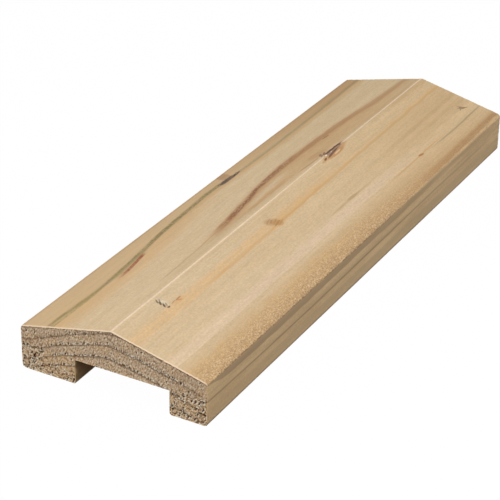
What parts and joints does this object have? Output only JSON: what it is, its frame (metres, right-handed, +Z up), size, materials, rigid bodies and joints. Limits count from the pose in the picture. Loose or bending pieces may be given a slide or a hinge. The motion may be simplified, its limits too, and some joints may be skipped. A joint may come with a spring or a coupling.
{
  "type": "timber capping board",
  "caption": "Planed timber capping board with a pitched top and a square off-centre groove in its underside that drops over the head of a fence.",
  "frame": {"origin": "on the ground, in the middle of the board's width and length, level with the undersides of both feet", "axes": "+Y along the board, +X across it from the wide foot to the narrow foot, +Z up through the ridge"},
  "size_m": [0.09, 0.3, 0.0309],
  "materials": {
    "timber": "planed and sanded bare timber, with sawn end grain"
  },
  "bodies": {
    "root": {"capping_board": "timber"}
  },
  "joints": []
}
